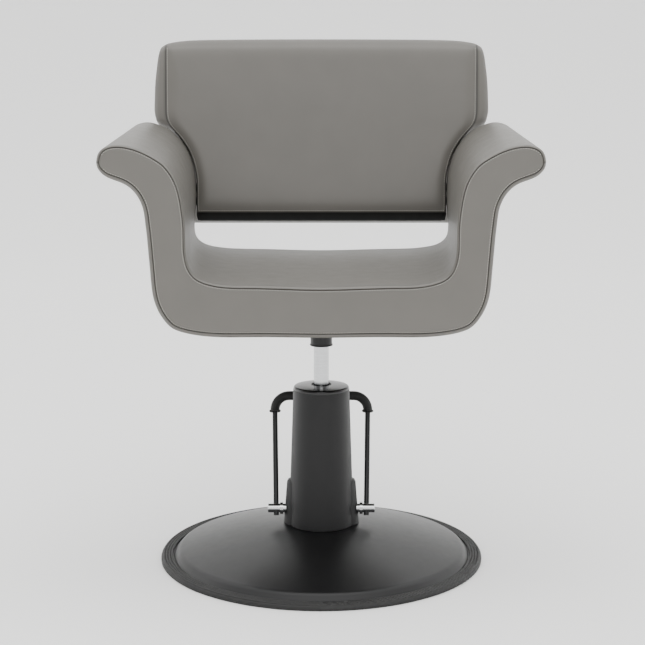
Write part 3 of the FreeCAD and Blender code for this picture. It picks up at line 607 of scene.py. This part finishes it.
def swell_grid(u_count, s_values, widths):
    """Swell at each row and column of the cover."""
    from_side = np.outer(widths, 1 - np.abs(np.linspace(-1, 1, u_count)))
    from_end = np.minimum(s_values, TOP_S - s_values)[:, None]
    shape = (1 - np.exp(-(from_side / RISE) ** 1.4)) * (1 - np.exp(-(from_end / RISE) ** 1.4))
    places, push = simulate_swell()
    cell = 12.0
    grid = np.zeros_like(shape)
    for j, s in enumerate(s_values):
        near = np.abs(places[:, 1] - s) < cell
        if not near.any():
            continue
        xs, ps = places[near, 0], push[near]
        columns = np.linspace(-1, 1, u_count) * widths[j]
        weight = np.exp(-((columns[:, None] - xs[None, :]) / cell) ** 2)
        grid[j] = (weight * ps).sum(1) / np.maximum(weight.sum(1), 1e-6)
    kernel = np.exp(-(np.arange(-6, 7) / 3.0) ** 2)
    kernel /= kernel.sum()
    grid = np.apply_along_axis(lambda r: np.convolve(np.pad(r, 6, "edge"), kernel, "valid"), 1, grid)
    grid = np.apply_along_axis(lambda c: np.convolve(np.pad(c, 6, "edge"), kernel, "valid"), 0, grid)
    print("cloth swell (mm): mean", round(float(push.mean()), 2), "most", round(float(push.max()), 2))
    return grid * shape


# %% [markdown]
# ### Front cover
# Each row of the cover goes across the pad. Close to the side seams the sheet dips into the groove, and
# along the top the corners fall away, because the foam is thinnest there.

# %% Front cover
across = np.linspace(-1, 1, ACROSS)
across = across + 0.12 * np.sin(np.pi * across)
cover_s, cover_t = cover_path[:, 0], cover_path[:, 1]
edge_w = half_width(FACE_HALF, cover_s)
push = swell_grid(ACROSS, cover_s, edge_w)
corner_drop = CORNER_DROP * np.abs(across) ** CORNER_TIGHTNESS
cover = np.zeros((len(cover_path), ACROSS, 3))
cover_seam_shade = np.zeros(cover.shape[:2])
for j, (s, t) in enumerate(cover_path):
    from_side = (1 - np.abs(across)) * edge_w[j]
    from_seam = np.minimum(from_side, s if t == 0 else 99)
    if t > TOP_ROUND:
        from_seam = np.minimum(from_seam, TOP_DEPTH - t)
    sunk = SEAM_DEPTH * np.exp(-(from_seam / 1.6) ** 2)
    high = np.clip((s - FACE_TOP * CROWN_FROM) / (TOP_S - FACE_TOP * CROWN_FROM), 0, 1) ** 2
    forward = push[j] * max(0.0, 1 - t / TOP_ROUND)
    cover[j, :, 0] = across * edge_w[j]
    cover[j, :, 1] = s - corner_drop * high + TOP_CROWN * (1 - across ** 2) * high
    cover[j, :, 2] = t - forward + sunk * (t < TOP_ROUND)
    # Painted shade beside the cover's seams.
    cover_seam_shade[j] = np.exp(-(from_seam / 1.1) ** 2)
back_front = grid_mesh("back_front_cover", to_chair(cover), cover_seam_shade)

# %% [markdown]
# ### Boxing and rear panel
# The boxing runs up one side, along the foot and up the other side. It starts at the cover's edge, has
# reached the pad's widest outline three tenths of the way in, and holds it until it meets the rear panel.
# Both neighbours are built from the same edge points, so no gap can open at a seam. Behind the ends of
# the arms nothing holds the foam in, so its rear edge spreads a few millimetres past them and closes the
# slot to the eye. The underside of the foot gets a near-black matt cloth finish, which is painted shade,
# and the sheet is turned over its rear edge.

# %% Boxing strip
BOX_STEPS = [0, 0.02, 0.05, 0.11, 0.2, 0.31, 0.42, 0.53, 0.64, 0.75, 0.85, 0.93, 0.98, 1.0]
foot_x = np.linspace(-1, 1, 61)[1:-1]
front_foot = np.stack([foot_x * edge_w[0], np.zeros(len(foot_x)), np.full(len(foot_x), SEAM_DEPTH)], 1)
front_edge = np.concatenate([cover[::-1, 0], front_foot, cover[:, -1]])
share = (cover_s + cover_t) / (cover_s[-1] + cover_t[-1])
rear_s_of_row = foot_height(BACK_THICK) + share * (TOP_S - foot_height(BACK_THICK))
rear_w_of_row = np.minimum(half_width(WIDEST_HALF, rear_s_of_row), 325)
rear_w_of_row += (edge_w - rear_w_of_row) * np.clip(share * 10 - 9, 0, 1)
rear_t_of_row = rear_depth(rear_s_of_row)
top_drop = CORNER_DROP * np.clip(share * 5 - 4, 0, 1) ** 2
rear_right = np.stack([rear_w_of_row, rear_s_of_row - top_drop, rear_t_of_row], 1)
rear_left = rear_right * np.array([-1, 1, 1])
FOOT_POINTS = len(foot_x)
PAINTED_SHADE_TO = 0.7
SPREAD, SPREAD_FROM_Y, SPREAD_FULL_Y = 7.5, 253.5, 260.0


def free_spread(points):
    """How far the foam spreads past the arms' ends at points in the back's plane."""
    behind = (to_chair(points)[..., 1] - SPREAD_FROM_Y) / (SPREAD_FULL_Y - SPREAD_FROM_Y)
    low_down = np.clip((190 - points[..., 1]) / 30, 0, 1)
    return SPREAD * np.clip(behind, 0, 1) * low_down


rear_foot = np.stack([foot_x * rear_w_of_row[0], np.full(FOOT_POINTS, rear_s_of_row[0]),
                      np.full(FOOT_POINTS, rear_t_of_row[0])], 1)
rear_edge = np.concatenate([rear_left[::-1], rear_foot, rear_right])
is_foot = np.zeros(len(front_edge), bool)
is_foot[len(cover_path):len(cover_path) + FOOT_POINTS] = True
side_of = np.where(is_foot, 0.0, np.sign(front_edge[:, 0]))
pull = side_of.copy()
pull[is_foot] = foot_x
box_width = np.linalg.norm(rear_edge - front_edge, axis=1)
boxing = np.zeros((len(BOX_STEPS), len(front_edge), 3))
boxing_seam_shade = np.zeros(boxing.shape[:2])
for j, k in enumerate(BOX_STEPS):
    row = front_edge * (1 - k) + rear_edge * k
    widest = half_width(WIDEST_HALF, np.clip(row[:, 1], -25, 342))
    bow = math.sin(math.pi / 2 * min(k / 0.3, 1)) if k < 1 else 0.0
    out_to = np.maximum(widest, np.abs(row[:, 0]))
    fade = np.clip((TOP_S - row[:, 1]) / 9, 0, 1) ** 0.6
    bowed = side_of * (np.abs(row[:, 0]) + (out_to - np.abs(row[:, 0])) * bow * fade)
    row[:, 0] = np.where(side_of != 0, bowed, row[:, 0])
    row[:, 1] -= np.where(is_foot, 1.2 * math.sin(math.pi * k), 0)
    row[:, 0] += pull * free_spread(row)
    boxing[j] = row
    # Painted shade beside both of the strip's seams.
    boxing_seam_shade[j] = np.exp(-(np.minimum(k, 1 - k) * box_width / 1.1) ** 2)
back_boxing = grid_mesh("back_boxing_strip", to_chair(boxing)[::-1], boxing_seam_shade[::-1])
# The foot's underside, seven tenths of the way back from the front seam, gets the near-black cloth: painted
# shade.
back_boxing.data.materials.append(painted_foot_shade)
steps = np.array(BOX_STEPS)[::-1]
painted_shade_faces = np.outer((steps[1:] + steps[:-1]) / 2 < PAINTED_SHADE_TO, is_foot[1:] | is_foot[:-1])
back_boxing.data.polygons.foreach_set("material_index", painted_shade_faces.reshape(-1).astype(np.int32))

# %% Rear panel
rear_panel = np.zeros((len(cover_path), ACROSS, 3))
rear_seam_shade = np.zeros(rear_panel.shape[:2])
for j in range(len(cover_path)):
    s, t = rear_s_of_row[j], rear_t_of_row[j]
    w = rear_w_of_row[j] + float(free_spread(rear_right[j]))
    puff = 2.0 * (1 - across ** 4) * math.sin(math.pi * share[j]) ** 0.5
    rear_panel[j, :, 0] = across * w
    crown = TOP_CROWN * (1 - across ** 2) * share[j] ** 6
    rear_panel[j, :, 1] = s - top_drop[j] * np.abs(across) ** CORNER_TIGHTNESS + crown
    rear_panel[j, :, 2] = t + puff
    from_edge = np.minimum((1 - np.abs(across)) * w, min(s - rear_s_of_row[0], TOP_S - s))
    # Painted shade beside the rear panel's seams.
    rear_seam_shade[j] = np.exp(-(from_edge / 1.1) ** 2)
back_rear = grid_mesh("back_rear_panel", to_chair(rear_panel)[::-1], rear_seam_shade[::-1])
print("back panels:", [len(o.data.polygons) for o in (back_front, back_boxing, back_rear)])

# %% [markdown]
# ## Stitches
# A stitch is a short raised loop of thread, repeated every few millimetres along a seam. Geometry Nodes
# suit this: the tree walks a curve, puts one small bead of thread on each point and turns it along the
# curve. The result is baked to a plain mesh, because instances aren't kept by the export.

# %% Stitch tree
def make_stitch_tree():
    """Geometry Nodes tree: a stitch mesh on every step along a curve."""
    tree = bpy.data.node_groups.new("stitch_along_curve", "GeometryNodeTree")
    face = tree.interface
    face.new_socket("Geometry", in_out="INPUT", socket_type="NodeSocketGeometry")
    for name, value in (("Pitch", 0.0036), ("Length", 0.0028), ("Thickness", 0.0008)):
        face.new_socket(name, in_out="INPUT", socket_type="NodeSocketFloat").default_value = value
    face.new_socket("Geometry", in_out="OUTPUT", socket_type="NodeSocketGeometry")
    given = tree.nodes.new("NodeGroupInput")
    steps = add(tree, "GeometryNodeResampleCurve", {"Curve": given.outputs["Geometry"],
                                                    "Length": given.outputs["Pitch"]}, mode="LENGTH")
    bead = add(tree, "GeometryNodeMeshIcoSphere", {"Radius": 0.5, "Subdivisions": 1})
    size = add(tree, "ShaderNodeCombineXYZ", {"X": given.outputs["Thickness"],
                                              "Y": given.outputs["Thickness"],
                                              "Z": given.outputs["Length"]})
    shaped = add(tree, "GeometryNodeTransform", {"Geometry": bead.outputs["Mesh"],
                                                 "Scale": size.outputs[0]})
    tangent = add(tree, "GeometryNodeInputTangent")
    turn = add(tree, "FunctionNodeAlignRotationToVector", {"Vector": tangent.outputs[0]}, axis="Z")
    placed = add(tree, "GeometryNodeInstanceOnPoints", {"Points": steps.outputs[0],
                                                        "Instance": shaped.outputs[0],
                                                        "Rotation": turn.outputs[0]})
    real = add(tree, "GeometryNodeRealizeInstances", {"Geometry": placed.outputs[0]})
    smooth = add(tree, "GeometryNodeSetShadeSmooth", {"Geometry": real.outputs[0]})
    inked = add(tree, "GeometryNodeSetMaterial", {"Geometry": smooth.outputs[0], "Material": thread})
    add(tree, "NodeGroupOutput", {"Geometry": inked.outputs[0]})
    return tree


stitch_tree = make_stitch_tree()


def socket_id(tree, name):
    """Identifier of a tree input, which a modifier needs instead of its name."""
    return next(s.identifier for s in tree.interface.items_tree
                if s.name == name and s.in_out == "INPUT")


def sew(name, lines, pitch=4.4, length=2.9, thickness=1.2):
    """Stitches along several lines of points in millimetres, as one plain mesh."""
    data = bpy.data.curves.new(name + "_path", "CURVE")
    data.dimensions = "3D"
    for line in lines:
        run = data.splines.new("POLY")
        run.points.add(len(line) - 1)
        run.points.foreach_set("co", np.c_[np.asarray(line) * MM, np.ones(len(line))].reshape(-1))
    holder = bpy.data.objects.new(name + "_path", data)
    bpy.context.scene.collection.objects.link(holder)
    modifier = holder.modifiers.new("stitches", "NODES")
    modifier.node_group = stitch_tree
    for key, value in (("Pitch", pitch), ("Length", length), ("Thickness", thickness)):
        modifier[socket_id(stitch_tree, key)] = value * MM
    bpy.context.view_layer.update()
    seen = holder.evaluated_get(bpy.context.evaluated_depsgraph_get())
    mesh = bpy.data.meshes.new_from_object(seen)
    bpy.data.objects.remove(holder)
    mesh.name = name
    mesh.materials.clear()
    mesh.materials.append(thread)
    made = bpy.data.objects.new(name, mesh)
    bpy.context.scene.collection.objects.link(made)
    print(name, "triangles:", sum(len(p.vertices) - 2 for p in mesh.polygons))
    return made


# %% [markdown]
# The chair is sewn with a line of stitches on the facing side of each seam, two millimetres in, and with
# a topstitched line along the foot and lower sides of the back.

# %% Sew the seams
def facing_stitch_lines(y, inner):
    """Stitch lines beside both seams of a facing."""
    low = inset(outer_line, outer_in + 2.0)[6:-6]
    high = inset(inner, inner_in + 2.0)[6:-6]
    return [np.stack([line[:, 0], np.full(len(line), y), line[:, 1]], 1) for line in (low, high)]


seat_stitches = sew("seat_stitches", facing_stitch_lines(SEAT_FRONT_Y - 0.2, inner_front_line)
                    + facing_stitch_lines(SEAT_REAR_Y + 0.2, inner_rear_line))
TOPSTITCH_IN = 3.4
face_rows = [j for j, t in enumerate(cover_t) if t == 0 and cover_s[j] > TOPSTITCH_IN]


def on_face(x, s):
    """Point just above the front cover, in the back's plane."""
    j = int(np.argmin(np.abs(cover_s - s) + 1e6 * (cover_t > 0)))
    return x, s, float(np.interp(x, cover[j, :, 0], cover[j, :, 2])) - 0.5


side_run = [on_face(edge_w[j] - TOPSTITCH_IN, cover_s[j]) for j in face_rows]
foot_run = [on_face(x * (edge_w[0] - TOPSTITCH_IN), TOPSTITCH_IN) for x in np.linspace(-1, 1, 160)]
top_line = [(-x, s, t) for x, s, t in reversed(side_run)] + foot_run + side_run
back_stitches = sew("back_stitches", [to_chair(top_line)])

# %% [markdown]
# ## Join the frame
# Every piece rides on the body that carries it, and stands for the plain CAD solids it hides.

# %% Rides and replacements
for piece, nodes in ((inner_cover, ("inner_cover", "seat_foam", "arm_foam_left", "arm_foam_right")),
                     (outer_cover, ("outer_cover", "outer_padding")),
                     (front_facing, ("front_facing",)), (rear_facing, ("rear_facing",)),
                     (back_front, ("back_front_cover", "back_foam")),
                     (back_boxing, ("back_boxing",)), (back_rear, ("back_rear_cover",)),
                     (seat_stitches, ()), (back_stitches, ())):
    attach(piece, "seat")
    if nodes:
        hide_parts(*nodes)

# %% [markdown]
# ## Studio
# The chair stands on a sweep: a pale floor that curves up into a wall, so no horizon line shows behind
# it. The sweep's material glows, faintly near the chair and fully at the wall: painted light from a part
# that is no lamp. A black base also needs brighter surroundings at its sides than behind the camera, so
# that the dome and the column get light edges while their middles stay dark. A low box behind the chair
# lights the tops of the arms, and the back cushion keeps that light off the seat.

# %% Floor, lights and world
SWEEP_HALF, SWEEP_FRONT, SWEEP_WALL_Y, SWEEP_RADIUS, SWEEP_TOP = 14.0, -12.0, 5.0, 1.8, 7.0
GLOW_START, GLOW_FULL = 0.5, 4.0


def make_sweep(glow):
    """Pale matte floor that curves up into a wall and glows towards the wall."""
    finish, tree, shader, where = start_finish("pale_studio_sweep", Roughness=0.9)
    tree.links.new(two_tones(tree, noise(tree, where, 900), linear("f8f8f7"), linear("fbfbfa")),
                   shader.inputs["Base Color"])
    depth = add(tree, "ShaderNodeSeparateXYZ", {0: where}).outputs["Y"]
    strength = add(tree, "ShaderNodeMapRange", {"Value": depth, "From Min": GLOW_START,
                                                "From Max": GLOW_FULL, "To Min": 0.0, "To Max": glow},
                   interpolation_type="SMOOTHSTEP").outputs[0]
    # Painted glow: the sweep's emission grows from nothing to full towards the wall.
    tree.links.new(strength, shader.inputs["Emission Strength"])
    shader.inputs["Emission Color"].default_value = (1, 1, 1, 1)
    turn = np.linspace(0, math.pi / 2, 25)
    run = [(SWEEP_FRONT, 0.0)]
    run += [(SWEEP_WALL_Y - SWEEP_RADIUS * (1 - math.sin(a)), SWEEP_RADIUS * (1 - math.cos(a))) for a in turn]
    run += [(SWEEP_WALL_Y, SWEEP_TOP)]
    points = [(x, y, z) for y, z in run for x in (-SWEEP_HALF, SWEEP_HALF)]
    faces = [(2 * i, 2 * i + 1, 2 * i + 3, 2 * i + 2) for i in range(len(run) - 1)]
    mesh = bpy.data.meshes.new("studio_sweep")
    mesh.from_pydata(points, [], faces)
    mesh.shade_smooth()
    mesh.materials.append(finish)
    made = bpy.data.objects.new("studio_sweep", mesh)
    bpy.context.scene.collection.objects.link(made)
    return made


def soft_light(name, place, aim, width, height, watts):
    """Rectangular soft box aimed at a point."""
    data = bpy.data.lights.new(name, "AREA")
    data.shape = "RECTANGLE"
    data.size, data.size_y, data.energy = width, height, watts
    made = bpy.data.objects.new(name, data)
    made.location = place
    made.rotation_euler = (Vector(aim) - Vector(place)).to_track_quat("-Z", "Y").to_euler()
    bpy.context.scene.collection.objects.link(made)
    return made


def make_world(even, behind, overhead):
    """White surroundings: an even part, a part that grows towards the rear and one that grows upwards."""
    world = bpy.data.worlds.new("studio")
    world.use_nodes = True
    tree = world.node_tree
    way = add(tree, "ShaderNodeTexCoord").outputs["Generated"]
    split = add(tree, "ShaderNodeSeparateXYZ", {0: way})
    depth = add(tree, "ShaderNodeMapRange", {"Value": split.outputs["Y"], "From Min": -0.7, "From Max": 0.5,
                                             "To Min": even, "To Max": even + behind},
                interpolation_type="SMOOTHSTEP").outputs[0]
    up = add(tree, "ShaderNodeMapRange", {"Value": split.outputs["Z"], "From Min": 0.3, "From Max": 1.0,
                                          "To Min": 0.0, "To Max": overhead}).outputs[0]
    both = add(tree, "ShaderNodeMath", {0: depth, 1: up}, operation="ADD").outputs[0]
    tree.links.new(both, tree.nodes["Background"].inputs["Strength"])
    tree.nodes["Background"].inputs["Color"].default_value = (1, 1, 1, 1)
    bpy.context.scene.world = world


make_sweep(glow=0.24)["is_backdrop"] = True
soft_light("overhead_box", (0.0, -0.5, 3.0), (0, -0.05, 0.5), 2.6, 2.2, 21)
soft_light("front_box", (0.0, -3.2, 2.0), (0, 0, 0.6), 2.4, 1.0, 29)
soft_light("left_box", (-2.3, 0.7, 1.2), (0, 0, 0.4), 0.9, 2.4, 7.8)
soft_light("right_box", (2.3, 0.7, 1.2), (0, 0, 0.4), 0.9, 2.4, 7.8)
soft_light("rear_box", (0.0, 2.3, 2.4), (0, 0, 0.75), 3.0, 0.9, 6.9)
make_world(even=0.54, behind=0.63, overhead=1.7)

# %% [markdown]
# ## Camera
# A long lens a few metres away, a little above the seat and tilted down, as for a catalogue page.

# %% Camera
lens = bpy.data.cameras.new("camera")
lens.lens, lens.sensor_width = 91.2, 36.0
camera = bpy.data.objects.new("camera", lens)
camera.location = (0.0022, -2.947, 0.989)
camera.rotation_euler = (math.radians(90 - 10.45), 0, 0)
bpy.context.scene.collection.objects.link(camera)
bpy.context.scene.camera = camera

# %% Sizes
low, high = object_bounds()
print("visual box (mm):", [round(v * 1000, 1) for v in (*low, *high)])
